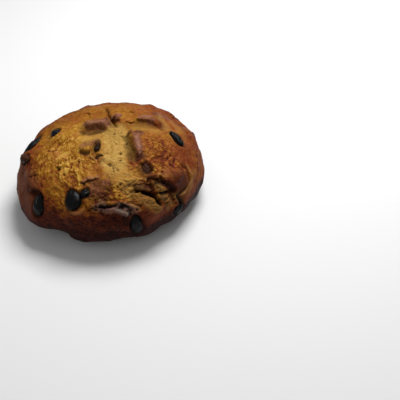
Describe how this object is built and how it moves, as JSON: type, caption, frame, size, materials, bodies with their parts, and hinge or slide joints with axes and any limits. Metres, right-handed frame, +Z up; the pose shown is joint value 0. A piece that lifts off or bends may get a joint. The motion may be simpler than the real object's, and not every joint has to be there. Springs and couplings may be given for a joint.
{
  "type": "swedish limpa bread",
  "caption": "Round, low hearth loaf with opened cross scores on top, folded crust at the front and raisins baked into its sides and top.",
  "frame": {"origin": "on the flat underside, under the middle of the loaf's bounding box", "axes": "+Z up, through the loaf's low height; +X to the loaf's right, along its greatest width; -Y to the front, where the burnt fold and the tuck are"},
  "size_m": [0.1916, 0.1902, 0.0819],
  "materials": {
    "crust": "baked bread crust, golden to dark brown, dull with a faint gloss",
    "raisin": "dried raisin skin, nearly black, slightly glossy"
  },
  "bodies": {
    "root": {"loaf": "crust", "raisin_01": "raisin", "raisin_02": "raisin", "raisin_03": "raisin", "raisin_04": "raisin", "raisin_05": "raisin", "raisin_06": "raisin", "raisin_07": "raisin", "raisin_08": "raisin", "raisin_09": "raisin", "raisin_10": "raisin", "raisin_11": "raisin", "raisin_12": "raisin", "raisin_13": "raisin", "raisin_14": "raisin", "raisin_15": "raisin", "raisin_16": "raisin", "raisin_17": "raisin", "raisin_18": "raisin"}
  },
  "joints": []
}
